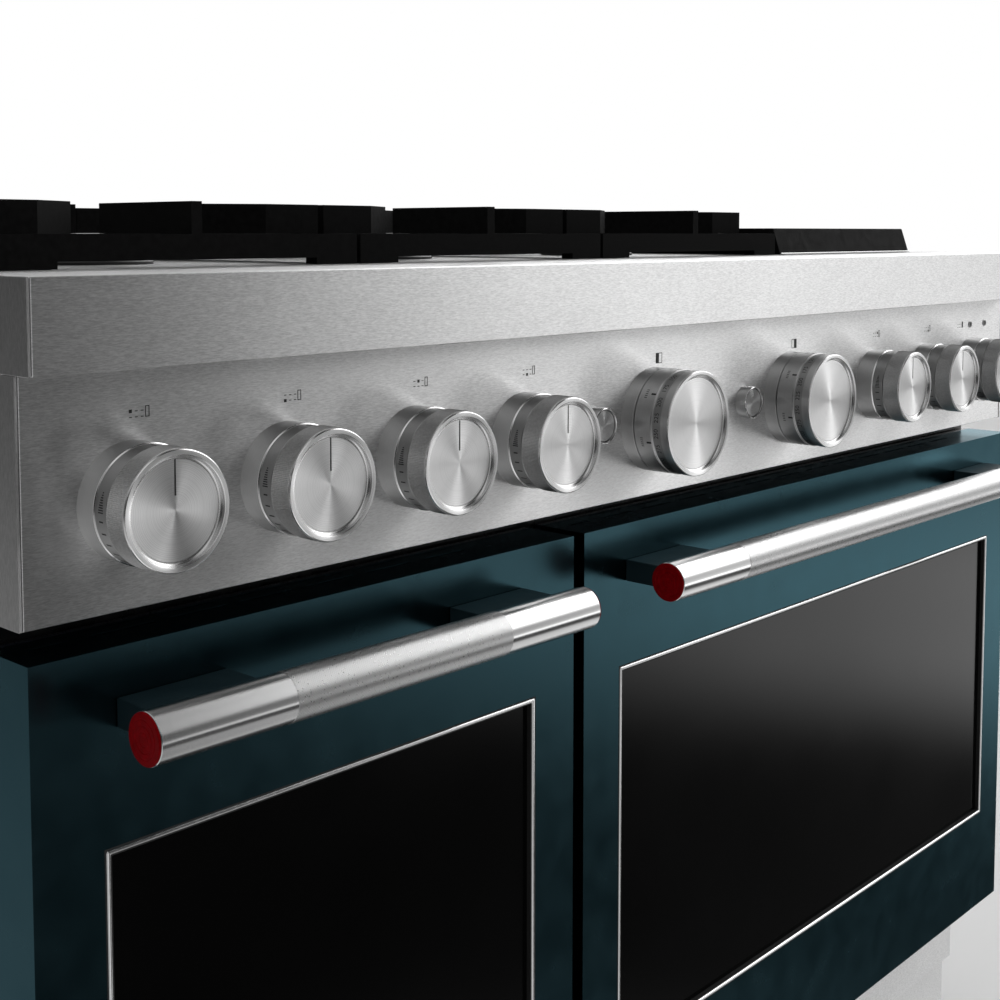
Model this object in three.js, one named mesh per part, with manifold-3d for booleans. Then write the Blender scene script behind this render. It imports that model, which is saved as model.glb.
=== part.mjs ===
// A 48-inch freestanding gas range: six burners under three grates, a griddle, nine front controls
// and two ovens with drop-down doors. Millimetres, +Z up, the front faces -Y, the floor is Z = 0 and
// the origin is under the middle of the range. Piece names say left and right as seen from the front.
import * as THREE from "three";
import { mergeVertices } from "three/addons/utils/BufferGeometryUtils.js";
import Module from "manifold-3d";

const wasm = await Module();
wasm.setup();

// ---- driving dimensions ----
const width = 1216; // outside of one side panel to the other
const depth = 736; // back panel to the front of the handles
const cooktopTop = 914; // the steel top over the floor
const gap = 0.3; // between pieces that touch
const sheet = 2; // thickness of the steel sheets

const halfWidth = width / 2;
const leftEnd = -halfWidth;
const backFace = depth / 2;
const panelFace = backFace - 660; // front plane of the control panel

const trimProud = 15; // how far the front trim stands out of the control panel
const trimDepth = 75;
const trimBottom = 862;
const panelTop = trimBottom - gap;
const panelBottom = 725.5;
const panelDepth = 100;
const panelReturn = 60; // depth of the panel's folded bottom

const doorTop = 709;
const doorBottom = 168;
const doorFront = panelFace - 8;
const doorThickness = 50;
const doorBack = doorFront + doorThickness;
const leftDoorWidth = 446.5;
const doorGap = 12.5;

const frameFront = panelFace + 45; // black frame behind the doors
const frameThickness = 4;
const cavityFront = frameFront + frameThickness + gap;
const cavityDepth = 440;
const cavityBottom = 225;
const cavityTop = 625;

const legHeight = 100; // floor to the underside of the base pan
const basePanTop = legHeight + sheet;

const knobZ = 787; // height of the row of controls
const knobPitch = 109.5;
const knobRadius = 34.3;
const ovenKnobRadius = 41.7;
const buttonRadius = 14;
const firstKnob = leftEnd + 69.5;
const ovenKnobs = { left: firstKnob + 485, right: firstKnob + 691.5 };
const burnerKnobs = [0, 1, 2, 3].map((i) => firstKnob + i * knobPitch);
burnerKnobs.push(...[0, 1, 2].map((i) => firstKnob + 848 + i * knobPitch));
const buttonOffset = 73; // a button stands this far left of its oven knob
const buttonZ = knobZ + 2;
const collarWall = 1.5;

const gratePitch = 283;
const grateWidth = gratePitch - 3.4;
const grateLeft = leftEnd + 46;
const grateFront = panelFace + 98;
const grateBar = 12;
const grateFeetZ = cooktopTop + gap;
const grateBarBottom = 918.9;
const grateBarTop = 935.7;
const fingerTop = 957.3;
const fingerArch = 936; // underside of a finger over its burner
const burnerPitch = 255; // front burner to rear burner
const burnerRows = { front: grateFront + 133.5, rear: grateFront + 133.5 + burnerPitch };
const columns = { left: 0, centre: 1, right: 2 };

// ---- materials ----
const material = (color, roughness, metalness) =>
  new THREE.MeshStandardMaterial({ color, roughness, metalness });
const steel = () => material(0xa9aaab, 0.35, 1);
const teal = () => material(0x3d5a63, 0.4, 0);
const blackEnamel = () => material(0x101113, 0.45, 0);
const castIron = () => material(0x1c1c1d, 0.75, 0.2);
const glass = () => material(0x08090a, 0.05, 0);
const galvanised = () => material(0x8b8e90, 0.5, 1);
const redEnamel = () => material(0x7a0209, 0.35, 0);

// ---- solids: three.js geometry in, three.js geometry out, joined and cut by manifold-3d ----
// Corners are rounded to a micron, so faces meant to be flush are exactly flush.
const micron = 1e-3;
function solid(geometry) {
  const bare = geometry.clone();
  const corners = bare.attributes.position.array;
  corners.forEach((value, i) => {
    corners[i] = Math.round(value / micron) * micron;
  });
  bare.deleteAttribute("normal");
  bare.deleteAttribute("uv");
  const merged = mergeVertices(bare, 1e-4);
  return new wasm.Manifold(
    new wasm.Mesh({
      numProp: 3,
      vertProperties: new Float32Array(merged.attributes.position.array),
      triVerts: new Uint32Array(merged.index.array),
    }),
  );
}

function geometryOf(body) {
  const mesh = body.getMesh();
  const geometry = new THREE.BufferGeometry();
  geometry.setAttribute("position", new THREE.BufferAttribute(mesh.vertProperties, 3));
  geometry.setIndex(new THREE.BufferAttribute(mesh.triVerts, 1));
  geometry.computeVertexNormals();
  return geometry;
}

// A box between two values along each axis.
function block([x0, x1], [y0, y1], [z0, z1]) {
  const box = new THREE.BoxGeometry(x1 - x0, y1 - y0, z1 - z0);
  return solid(box.translate((x0 + x1) / 2, (y0 + y1) / 2, (z0 + z1) / 2));
}

// A cylinder from one point along +X, +Y or +Z.
function rod(axis, [x, y, z], radius, length, segments = 24) {
  const cylinder = new THREE.CylinderGeometry(radius, radius, length, segments);
  cylinder.translate(0, length / 2, 0);
  if (axis === "x") cylinder.rotateZ(-Math.PI / 2);
  if (axis === "z") cylinder.rotateX(Math.PI / 2);
  return solid(cylinder.translate(x, y, z));
}

// A solid of revolution about a line along -Y, given as [radius, distance in front] points.
function turned(points, [x, y, z], segments = 20) {
  const outline = points.map(([r, out]) => new THREE.Vector2(r, out));
  const lathe = new THREE.LatheGeometry(outline, segments);
  lathe.rotateX(Math.PI);
  return solid(lathe.translate(x, y, z));
}

// A solid of revolution about a vertical line, given as [radius, height] points.
function turnedUp(points, [x, y, z], segments = 18) {
  const outline = points.map(([r, up]) => new THREE.Vector2(r, up));
  const lathe = new THREE.LatheGeometry(outline, segments);
  lathe.rotateX(Math.PI / 2);
  return solid(lathe.translate(x, y, z));
}

// A side view in [y, z] points, extruded along X.
function extrudedAlongX(points, [x0, x1]) {
  const shape = new THREE.Shape(points.map(([y, z]) => new THREE.Vector2(y, z)));
  const body = new THREE.ExtrudeGeometry(shape, { depth: x1 - x0, bevelEnabled: false });
  const toWorld = new THREE.Matrix4().makeBasis(
    new THREE.Vector3(0, 1, 0),
    new THREE.Vector3(0, 0, 1),
    new THREE.Vector3(1, 0, 0),
  );
  return solid(body.applyMatrix4(toWorld).translate(x0, 0, 0));
}

// A plan view in [x, y] points, extruded upwards.
function extrudedUp(points, [z0, z1]) {
  const shape = new THREE.Shape(points.map(([x, y]) => new THREE.Vector2(x, y)));
  const body = new THREE.ExtrudeGeometry(shape, { depth: z1 - z0, bevelEnabled: false });
  return solid(body.translate(0, 0, z0));
}

const joined = (bodies) => bodies.reduce((whole, body) => whole.add(body));
const cut = (whole, bodies) => bodies.reduce((left, body) => left.subtract(body), whole);

const range = new THREE.Group();

function add(name, body, look) {
  const mesh = new THREE.Mesh(geometryOf(body), look);
  mesh.name = name;
  range.add(mesh);
  return mesh;
}

// ---- body shell ----
function sidePanel(side) {
  const outline = [
    [frameFront, legHeight],
    [backFace - sheet - gap, legHeight],
    [backFace - sheet - gap, cooktopTop],
    [panelFace - trimProud + trimDepth + gap, cooktopTop],
    [panelFace - trimProud + trimDepth + gap, panelTop + gap],
    [panelFace + panelDepth + gap, panelTop + gap],
    [panelFace + panelDepth + gap, panelBottom - gap],
    [frameFront, panelBottom - gap],
  ];
  const outer = side * halfWidth;
  const inner = side * (halfWidth - sheet);
  return extrudedAlongX(outline, [Math.min(outer, inner), Math.max(outer, inner)]);
}
add("left_side_panel", sidePanel(-1), steel());
add("right_side_panel", sidePanel(1), steel());

const inside = halfWidth - sheet - gap; // half the clear width between the side panels

// The gas inlet and the supply cord's gland stand in a recess at the back's lower right corner, so
// the range can still be pushed back to a wall.
const backPanelTop = cooktopTop - 9;
const recess = { fromEnd: 60, width: 130, bottom: legHeight + 40, height: 110, deep: 45, wall: 1.5 };
const entry = { inset: 35, inlet: 13, inletBore: 8, inletLength: 32, gland: 11, glandLength: 20 };

function backPanel() {
  const { wall } = recess;
  const [x0, x1] = [inside - recess.fromEnd - recess.width, inside - recess.fromEnd];
  const [z0, z1] = [recess.bottom, recess.bottom + recess.height];
  const floorY = backFace - recess.deep;
  const pocket = block([x0, x1], [floorY, backFace + 1], [z0, z1]);
  const pocketWall = block([x0 - wall, x1 + wall], [floorY - wall, backFace], [z0 - wall, z1 + wall]);
  const plate = block([-halfWidth, halfWidth], [backFace - sheet, backFace], [legHeight, backPanelTop]);
  const middleZ = (z0 + z1) / 2;
  const inletX = x0 + entry.inset;
  const inlet = rod("y", [inletX, floorY - wall, middleZ], entry.inlet, entry.inletLength, 16);
  const bore = rod("y", [inletX, floorY + 8, middleZ], entry.inletBore, entry.inletLength, 16);
  const gland = rod("y", [x1 - entry.inset, floorY - wall, middleZ], entry.gland, entry.glandLength, 16);
  const shell = joined([plate, pocketWall]).subtract(pocket);
  return cut(joined([shell, inlet, gland]), [bore]);
}
add("back_panel", backPanel(), galvanised());

function basePan() {
  const [y0, y1] = [frameFront + frameThickness + gap, backFace - sheet - gap];
  const floor = block([-inside, inside], [y0, y1], [legHeight, basePanTop]);
  const flange = 25;
  const sides = [-1, 1].map((side) => {
    const edges = [side * inside, side * (inside - sheet)].sort((a, b) => a - b);
    return block(edges, [y0, y1], [legHeight, legHeight + flange]);
  });
  return joined([floor, ...sides]);
}
add("base_pan", basePan(), galvanised());

// Each leg is a round pad on a stem that screws into the base pan.
const legInset = { x: halfWidth - 60, front: frameFront + 70, rear: backFace - 60 };
for (const [end, y] of Object.entries({ front: legInset.front, rear: legInset.rear }))
  for (const [side, x] of Object.entries({ left: -legInset.x, right: legInset.x })) {
    const outline = [
      [0, 0],
      [21, 0],
      [23, 3],
      [23, 12],
      [13, 16],
      [13, legHeight - gap],
      [0, legHeight - gap],
    ];
    add(`${end}_${side}_leg`, turnedUp(outline, [x, y, 0]), galvanised());
  }

// The kick plate hangs in front of the black frame and steps back to pass before the legs.
const kick = { clearance: 14, stepZ: 74, top: doorBottom - 40, inset: 4, setBack: 52 };

function kickPlate() {
  const x = [-halfWidth + kick.inset, halfWidth - kick.inset];
  const upperFront = frameFront - gap - 2.2;
  const lowerFront = panelFace + kick.setBack;
  const lowerBack = lowerFront + sheet;
  const lower = block(x, [lowerFront, lowerBack], [kick.clearance, legHeight - gap]);
  const upper = block(x, [upperFront, frameFront - gap], [kick.stepZ, kick.top]);
  const step = block(x, [upperFront, lowerBack], [kick.stepZ, kick.stepZ + sheet]);
  return joined([lower, upper, step]);
}
add("kick_plate", kickPlate(), steel());

// ---- ovens ----
const doors = {
  left: [leftEnd, leftEnd + leftDoorWidth],
  right: [leftEnd + leftDoorWidth + doorGap, halfWidth],
};
const cavities = {
  left: [doors.left[0] + 52, doors.left[1] - 45],
  right: [doors.right[0] + 45, doors.right[1] - 52],
};

function frontFrame() {
  const [y0, y1] = [frameFront, frameFront + frameThickness];
  const plate = block([-inside, inside], [y0, y1], [legHeight, panelBottom - gap]);
  const mouths = Object.values(cavities).map((x) =>
    block([x[0] + sheet, x[1] - sheet], [y0 - 1, y1 + 1], [cavityBottom, cavityTop]),
  );
  return cut(plate, mouths);
}
add("front_frame", frontFrame(), blackEnamel());

const rackLedge = { deep: 8, z: cavityBottom + 150, thick: 4 };

// An enamelled box, open at the front, with one ledge on each side wall to carry the rack.
function ovenCavity([x0, x1]) {
  const yEnd = cavityFront + cavityDepth;
  const outer = block([x0, x1], [cavityFront, yEnd], [cavityBottom - sheet, cavityTop + sheet]);
  const hollow = block([x0 + sheet, x1 - sheet], [cavityFront - 1, yEnd - sheet],
    [cavityBottom, cavityTop]);
  const ledges = [x0 + sheet / 2, x1 - sheet / 2 - rackLedge.deep].map((x) =>
    block([x, x + rackLedge.deep], [cavityFront + 5, yEnd - sheet / 2],
      [rackLedge.z - rackLedge.thick, rackLedge.z]),
  );
  return joined([outer.subtract(hollow), ...ledges]);
}

// Square-section wires: an outer frame, cross wires front to back and a middle stay.
function ovenRack([x0, x1]) {
  const [left, right] = [x0 + sheet + 3, x1 - sheet - 3];
  const [front, rear] = [cavityFront + 30, cavityFront + cavityDepth - 30];
  const wire = 5;
  const wirePitch = 60;
  const [z0, z1] = [rackLedge.z + gap, rackLedge.z + gap + wire];
  const across = [front, (front + rear) / 2, rear - wire].map((y) =>
    block([left, right], [y, y + wire], [z0, z1]),
  );
  const count = Math.round((right - left) / wirePitch);
  const along = Array.from({ length: count + 1 }, (_, i) => {
    const x = left + (i * (right - left - wire)) / count;
    return block([x, x + wire], [front + 1, rear - 1], [z0 + 1.5, z1 + 1.5]);
  });
  return joined([...across, ...along]);
}

for (const [side, span] of Object.entries(cavities)) {
  add(`${side}_oven_cavity`, ovenCavity(span), blackEnamel());
  add(`${side}_oven_rack`, ovenRack(span), steel());
}

// ---- doors: skin, glass, trim, inner panel, and a handle on two brackets ----
const windowTop = doorTop - 113;
const windowBottom = doorBottom + 108;
const windowMargin = 44; // door edge to the window's side
const trimWidth = 3;
const skin = 1.5;
const linerDepth = 6;
const skinBack = doorBack - linerDepth;
const handleRadius = 15;
const handleWall = 1.2;
const handleY = -depth / 2 + handleRadius;
const handleZ = 674;
const handles = {
  left: [doors.left[0] + 36.5, doors.left[1] - 52],
  right: [doors.right[0] + 35, doors.right[1] - 50],
};
const bracket = { width: 75, height: 17, fromLeft: 16, fromRight: 6, bottom: handleZ - 10.6 };
const cap = { head: 1.5, plug: 4 }; // how far a handle's cap stands out of the bar and reaches in

function doorSkin([x0, x1], [w0, w1]) {
  const outer = block([x0, x1], [doorFront, skinBack], [doorBottom, doorTop]);
  const hollow = block([x0 + skin, x1 - skin], [doorFront + skin, doorBack],
    [doorBottom + skin, doorTop - skin]);
  const opening = block([w0, w1], [doorFront - 1, doorFront + 5], [windowBottom, windowTop]);
  return cut(outer, [hollow, opening]);
}

// The trim lines the opening, and the pane lies behind it with an edge all round inside the skin.
const trimBack = doorFront + 4;
const glassBack = doorFront + 8;
const glassEdge = 10;

function windowTrim([w0, w1]) {
  const [y0, y1] = [doorFront - 0.8, trimBack];
  const outer = block([w0 + gap, w1 - gap], [y0, y1], [windowBottom + gap, windowTop - gap]);
  const inner = block([w0 + trimWidth, w1 - trimWidth], [y0 - 1, y1 + 1],
    [windowBottom + trimWidth, windowTop - trimWidth]);
  return outer.subtract(inner);
}

function windowGlass([w0, w1]) {
  return block([w0 - glassEdge, w1 + glassEdge], [trimBack + gap, glassBack],
    [windowBottom - glassEdge, windowTop + glassEdge]);
}

// The inner panel is a shallow pan that closes the skin's back, with a sleeve from its smaller window
// to the glass.
function doorLiner([x0, x1], [w0, w1]) {
  const y0 = skinBack + gap;
  const window = { x: [w0 + 60, w1 - 60], z: [windowBottom + 50, windowTop - 60] };
  const grown = ([low, high], by) => [low - by, high + by];
  const pan = block([x0, x1], [y0, doorBack], [doorBottom, doorTop]);
  const hollow = block(grown([x0, x1], -skin), [y0 - 1, doorBack - skin],
    grown([doorBottom, doorTop], -skin));
  const sleeve = block(grown(window.x, skin), [glassBack + 1, doorBack], grown(window.z, skin));
  const view = block(window.x, [doorFront, doorBack + 1], window.z);
  return joined([pan.subtract(hollow), sleeve]).subtract(view);
}

// A rod on the handle's axis.
function handleRod(x0, x1, radius) {
  return rod("x", [x0, handleY, handleZ], radius, x1 - x0, 20);
}

function handleBar([x0, x1]) {
  const bore = handleRod(x0 - 1, x1 + 1, handleRadius - handleWall);
  return handleRod(x0, x1, handleRadius).subtract(bore);
}

function handleBracket(x0) {
  const x1 = x0 + bracket.width;
  const body = block([x0, x1], [handleY, doorFront - gap], [bracket.bottom, bracket.bottom + bracket.height]);
  return body.subtract(handleRod(x0 - 1, x1 + 1, handleRadius + gap));
}

// A cap's head covers the bar's end and its plug goes into the bore.
function endCap(end, outwards) {
  const part = (from, to, radius) => {
    const [x0, x1] = [end + outwards * from, end + outwards * to].sort((a, b) => a - b);
    return handleRod(x0, x1, radius);
  };
  const plug = part(-cap.plug, cap.head, handleRadius - handleWall - gap);
  return plug.add(part(gap, cap.head, handleRadius));
}

for (const [side, span] of Object.entries(doors)) {
  const window = [span[0] + windowMargin, span[1] - windowMargin];
  const bar = handles[side];
  add(`${side}_door_skin`, doorSkin(span, window), teal());
  add(`${side}_window_trim`, windowTrim(window), steel());
  add(`${side}_window_glass`, windowGlass(window), glass());
  add(`${side}_door_liner`, doorLiner(span, window), blackEnamel());
  add(`${side}_handle_bar`, handleBar(bar), steel());
  add(`${side}_handle_bracket_a`, handleBracket(bar[0] + bracket.fromLeft), teal());
  add(`${side}_handle_bracket_b`, handleBracket(bar[1] - bracket.fromRight - bracket.width), teal());
  add(`${side}_handle_cap_a`, endCap(bar[0], -1), redEnamel());
  add(`${side}_handle_cap_b`, endCap(bar[1], 1), redEnamel());
}

// ---- control panel with its fixed bezels ----
const bezelDepth = 28.3;
const ovenBezelDepth = 12.4;
const collarDepth = 10.5;
const shaftHole = 5.5;
const hubHole = 9.5;

function bezel(x, radius, deep, hole) {
  const wall = 2;
  const outline = [
    [hole, deep - wall],
    [radius - wall, deep - wall],
    [radius - wall, -sheet / 2],
    [radius, -sheet / 2],
    [radius, deep - 1],
    [radius - 1, deep],
    [hole, deep],
    [hole, deep - wall],
  ];
  return turned(outline, [x, panelFace, knobZ]);
}

function collar(x) {
  const inner = buttonRadius - collarWall;
  const outline = [
    [inner, -sheet / 2],
    [buttonRadius, -sheet / 2],
    [buttonRadius, collarDepth],
    [inner, collarDepth],
    [inner, -sheet / 2],
  ];
  return turned(outline, [x, panelFace, buttonZ], 16);
}

function controlPanel() {
  const outer = block([-halfWidth, halfWidth], [panelFace, panelFace + panelDepth],
    [panelBottom, panelTop]);
  const hollow = block([-halfWidth + sheet, halfWidth - sheet],
    [panelFace + sheet, panelFace + panelDepth + 1], [panelBottom + sheet, panelTop + 1]);
  const behindReturn = block([-halfWidth + sheet, halfWidth - sheet],
    [panelFace + panelReturn, panelFace + panelDepth + 1], [panelBottom - 1, panelTop + 1]);
  const hole = (x, z, radius) => rod("y", [x, panelFace - 1, z], radius, sheet + 2, 16);
  const ovenX = Object.values(ovenKnobs);
  const holes = [
    ...burnerKnobs.map((x) => hole(x, knobZ, shaftHole)),
    ...ovenX.map((x) => hole(x, knobZ, hubHole)),
    ...ovenX.map((x) => hole(x - buttonOffset, buttonZ, shaftHole)),
  ];
  const rings = [
    ...burnerKnobs.map((x) => bezel(x, knobRadius, bezelDepth, shaftHole)),
    ...ovenX.map((x) => bezel(x, ovenKnobRadius, ovenBezelDepth, hubHole)),
    ...ovenX.map((x) => collar(x - buttonOffset)),
  ];
  return joined([cut(outer, [hollow, behindReturn, ...holes]), ...rings]);
}
add("control_panel", controlPanel(), steel());

// ---- knobs, rings and buttons ----
const knobFront = 45.8;
const shaftBehind = 16; // how far a shaft reaches behind the panel's face
const shaftRadius = 4.5;

// A knob is a shallow dish on a shaft: [radius, distance in front of the panel].
function knob(x, radius, back) {
  const outline = [
    [0, -shaftBehind],
    [shaftRadius, -shaftBehind],
    [shaftRadius, back],
    [radius, back],
    [radius, knobFront - 1.5],
    [radius - 1.5, knobFront],
    [radius - 4.5, knobFront],
    [radius - 5.5, knobFront - 3],
    [0, knobFront - 3],
  ];
  return turned(outline, [x, panelFace, knobZ]);
}

burnerKnobs.forEach((x, i) => {
  add(`burner_knob_${i + 1}`, knob(x, knobRadius, bezelDepth + gap), steel());
});

const modeRingFront = 29;
function modeRing(x) {
  const back = ovenBezelDepth + gap;
  const outline = [
    [shaftRadius + 1, -shaftBehind / 2],
    [hubHole - 1, -shaftBehind / 2],
    [hubHole - 1, back],
    [ovenKnobRadius, back],
    [ovenKnobRadius, modeRingFront],
    [ovenKnobRadius - 5, modeRingFront],
    [ovenKnobRadius - 5, back + 4],
    [shaftRadius + 1, back + 4],
    [shaftRadius + 1, -shaftBehind / 2],
  ];
  return turned(outline, [x, panelFace, knobZ], 24);
}

for (const [side, x] of Object.entries(ovenKnobs)) {
  add(`${side}_oven_mode_ring`, modeRing(x), steel());
  add(`${side}_oven_knob`, knob(x, ovenKnobRadius, modeRingFront + gap), steel());
  const face = buttonRadius - collarWall - gap;
  const outline = [
    [0, -shaftBehind],
    [shaftRadius, -shaftBehind],
    [shaftRadius, collarDepth - 6],
    [face, collarDepth - 6],
    [face, collarDepth - 1],
    [0, collarDepth - 1],
  ];
  const button = turned(outline, [x - buttonOffset, panelFace, buttonZ], 20);
  add(`${side}_oven_button`, button, steel());
}

// ---- front trim and cooktop ----
const trimReturn = 40; // depth of the trim's folded bottom
const trimEdge = 1.5;

function frontTrim() {
  const front = panelFace - trimProud;
  const rear = front + trimDepth;
  const profile = [
    [front, trimBottom],
    [rear, trimBottom],
    [rear, cooktopTop],
    [front + trimEdge, cooktopTop],
    [front, cooktopTop - trimEdge],
  ];
  const insideX = [-halfWidth + sheet, halfWidth - sheet];
  const hollow = block(insideX, [front + sheet, rear + 1], [trimBottom + sheet, cooktopTop - sheet]);
  const behindReturn = block(insideX, [front + trimReturn, rear + 1],
    [trimBottom - 1, trimBottom + sheet + 1]);
  return cut(extrudedAlongX(profile, [-halfWidth, halfWidth]), [hollow, behindReturn]);
}
add("front_trim", frontTrim(), steel());

const rearTrimFront = panelFace + 622;
const burners = [];
for (const [column, i] of Object.entries(columns))
  for (const [row, y] of Object.entries(burnerRows))
    burners.push({ name: `${row}_${column}_burner`, x: grateLeft + grateWidth / 2 + i * gratePitch, y });

const burnerHole = 24;
const stiffenerDepth = 32;
const stiffenerInset = 8;

function cooktopTray() {
  const [y0, y1] = [panelFace - trimProud + trimDepth + gap, rearTrimFront - gap];
  const plate = block([-inside, inside], [y0, y1], [cooktopTop - sheet, cooktopTop]);
  const stiffener = (y) =>
    block([-inside, inside], [y, y + sheet], [cooktopTop - stiffenerDepth, cooktopTop - sheet / 2]);
  const holes = burners.map(({ x, y }) => rod("z", [x, y, cooktopTop - 10], burnerHole, 20, 20));
  const stiffeners = [y0 + stiffenerInset, y1 - stiffenerInset - sheet].map(stiffener);
  return cut(joined([plate, ...stiffeners]), holes);
}
add("cooktop_tray", cooktopTray(), steel());

// A low bar along the back with a sloping front edge, and vent slots for the ovens' flue.
function rearTrim() {
  const top = cooktopTop + 14;
  const bottom = cooktopTop - 30;
  const chamfer = 6;
  const rear = backFace - sheet - gap;
  const outline = [
    [rearTrimFront, bottom],
    [rear, bottom],
    [rear, top],
    [rearTrimFront + chamfer, top],
    [rearTrimFront, top - chamfer],
  ];
  const bar = extrudedAlongX(outline, [-inside, inside]);
  const hollow = block([-inside + sheet, inside - sheet], [rearTrimFront + sheet, rear - sheet],
    [bottom - 1, top - chamfer]);
  const slot = { count: 12, length: 72, width: 8, fromFront: 14, margin: 30 };
  const slotPitch = 2 * (inside - slot.margin) / slot.count;
  const slotY = rearTrimFront + slot.fromFront;
  const slots = Array.from({ length: slot.count }, (_, i) => {
    const x = -inside + slot.margin + (i + 0.5) * slotPitch;
    return block([x - slot.length / 2, x + slot.length / 2], [slotY, slotY + slot.width],
      [top - chamfer - 1, top + 1]);
  });
  return cut(bar, [hollow, ...slots]);
}
add("rear_trim", rearTrim(), steel());

// A burner: throat through the tray, wide base, and a cap on a narrower crown.
for (const { name, x, y } of burners) {
  const base = grateFeetZ - cooktopTop;
  const outline = [
    [0, -20],
    [burnerHole - 4, -20],
    [burnerHole - 4, base],
    [46, base],
    [46, 3],
    [36, 6],
    [36, 11],
    [39, 11],
    [39, 14],
    [36, 16],
    [0, 16.5],
  ];
  add(name, turnedUp(outline, [x, y, cooktopTop]), castIron());
}

// ---- grates ----
// A finger seen from above: from its root on a frame bar, straight, then bent towards the burner.
function bentFinger(root, elbow, tip, halfThick) {
  const away = (a, b) => {
    const length = Math.hypot(b[0] - a[0], b[1] - a[1]);
    return [(-(b[1] - a[1]) / length) * halfThick, ((b[0] - a[0]) / length) * halfThick];
  };
  const n1 = away(root, elbow);
  const n2 = away(elbow, tip);
  const bend = [(n1[0] + n2[0]) / 2, (n1[1] + n2[1]) / 2];
  const plan = [
    [root[0] + n1[0], root[1] + n1[1]],
    [elbow[0] + bend[0], elbow[1] + bend[1]],
    [tip[0] + n2[0] * 0.7, tip[1] + n2[1] * 0.7],
    [tip[0] - n2[0] * 0.7, tip[1] - n2[1] * 0.7],
    [elbow[0] - bend[0], elbow[1] - bend[1]],
    [root[0] - n1[0], root[1] - n1[1]],
  ];
  const area = plan.reduce((sum, [x, y], i) => {
    const [nx, ny] = plan[(i + 1) % plan.length];
    return sum + x * ny - nx * y;
  }, 0);
  return area > 0 ? plan : plan.reverse();
}

const grateFoot = 38; // length of a foot under each corner
const rib = { halfWidth: 4.2, root: 28, reach: 105 }; // straight fingers, front and rear of a burner
const bent = { halfWidth: 5.5, fromBar: 42, elbow: 48, tip: { x: 54, y: 62 }, stub: 16 };

function grate(column) {
  const x0 = grateLeft + column * gratePitch;
  const x1 = x0 + grateWidth;
  const middle = (x0 + x1) / 2;
  const y0 = grateFront;
  const y1 = y0 + 2 * burnerPitch + grateBar;
  const low = [grateBarBottom, grateBarTop];
  const bars = [
    ...[y0, y0 + burnerPitch, y1 - grateBar].map((y) => block([x0, x1], [y, y + grateBar], low)),
    ...[x0, x1 - grateBar].map((x) => block([x, x + grateBar], [y0, y1], low)),
  ];
  const feet = [x0, x1 - grateFoot].flatMap((x) =>
    [y0, y1 - grateBar].map((y) =>
      block([x, x + grateFoot], [y, y + grateBar], [grateFeetZ, grateBarBottom + 1]),
    ),
  );
  const tall = [grateBarBottom + 8, fingerTop];
  const high = [fingerArch, fingerTop];
  const fingers = [];
  for (const centre of Object.values(burnerRows)) {
    for (const end of [-1, 1]) {
      const barY = centre + (end * burnerPitch) / 2;
      const ribX = [middle - rib.halfWidth, middle + rib.halfWidth];
      const span = (from, to) => [barY - end * from, barY - end * to].sort((a, b) => a - b);
      fingers.push(block(ribX, span(-grateBar / 2, rib.root), tall));
      fingers.push(block(ribX, span(rib.root - 8, rib.reach), high));
      const rootY = barY - end * bent.fromBar;
      for (const hand of [-1, 1]) {
        const root = [middle + hand * (grateWidth / 2 - 1), rootY];
        const elbow = [middle + hand * (grateWidth / 2 - bent.elbow), rootY];
        const tip = [middle + hand * bent.tip.x, centre + end * bent.tip.y];
        fingers.push(extrudedUp(bentFinger(root, elbow, tip, bent.halfWidth), high));
        const stub = [root[0], root[0] - hand * bent.stub].sort((a, b) => a - b);
        fingers.push(block(stub, [rootY - bent.halfWidth + 0.1, rootY + bent.halfWidth - 0.1], tall));
      }
    }
  }
  return joined([...bars, ...feet, ...fingers]);
}
for (const [column, i] of Object.entries(columns)) add(`${column}_grate`, grate(i), castIron());

// ---- griddle ----
const griddle = { x: [leftEnd + 900, leftEnd + 1179], front: panelFace + 97, rear: panelFace + 600 };

// A cast plate with a raised rim; the front rim leans back and the underside is hollow.
function griddlePlate() {
  const [bottom, top] = [grateFeetZ, cooktopTop + 27];
  const wall = 6;
  const lean = 9;
  const surface = bottom + 17;
  const profile = [
    [griddle.front, bottom],
    [griddle.rear, bottom],
    [griddle.rear, top],
    [griddle.front + lean, top],
  ];
  const [x0, x1] = griddle.x;
  const dish = block([x0 + wall, x1 - wall], [griddle.front + lean + wall, griddle.rear - wall],
    [surface, top + 1]);
  const underside = block([x0 + wall, x1 - wall], [griddle.front + wall + 4, griddle.rear - wall],
    [bottom - 1, surface - wall]);
  return cut(extrudedAlongX(profile, griddle.x), [dish, underside]);
}
add("griddle_plate", griddlePlate(), castIron());

// Under the plate, a looped tube burner lies on the tray.
function griddleBurner() {
  const middle = (griddle.x[0] + griddle.x[1]) / 2;
  const loop = { halfWidth: 60, inset: 60, tube: 12, height: 8 };
  const area = (by, z) =>
    block([middle - loop.halfWidth + by, middle + loop.halfWidth - by],
      [griddle.front + loop.inset + by, griddle.rear - loop.inset - by], z);
  const whole = area(0, [grateFeetZ, grateFeetZ + loop.height]);
  return whole.subtract(area(loop.tube, [grateFeetZ - 1, grateFeetZ + loop.height + 1]));
}
add("griddle_burner", griddleBurner(), galvanised());

export default range;
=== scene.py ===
import math
from math import cos, pi, radians, sin

import bmesh
import bpy
from mathutils import Matrix, Vector


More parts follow.
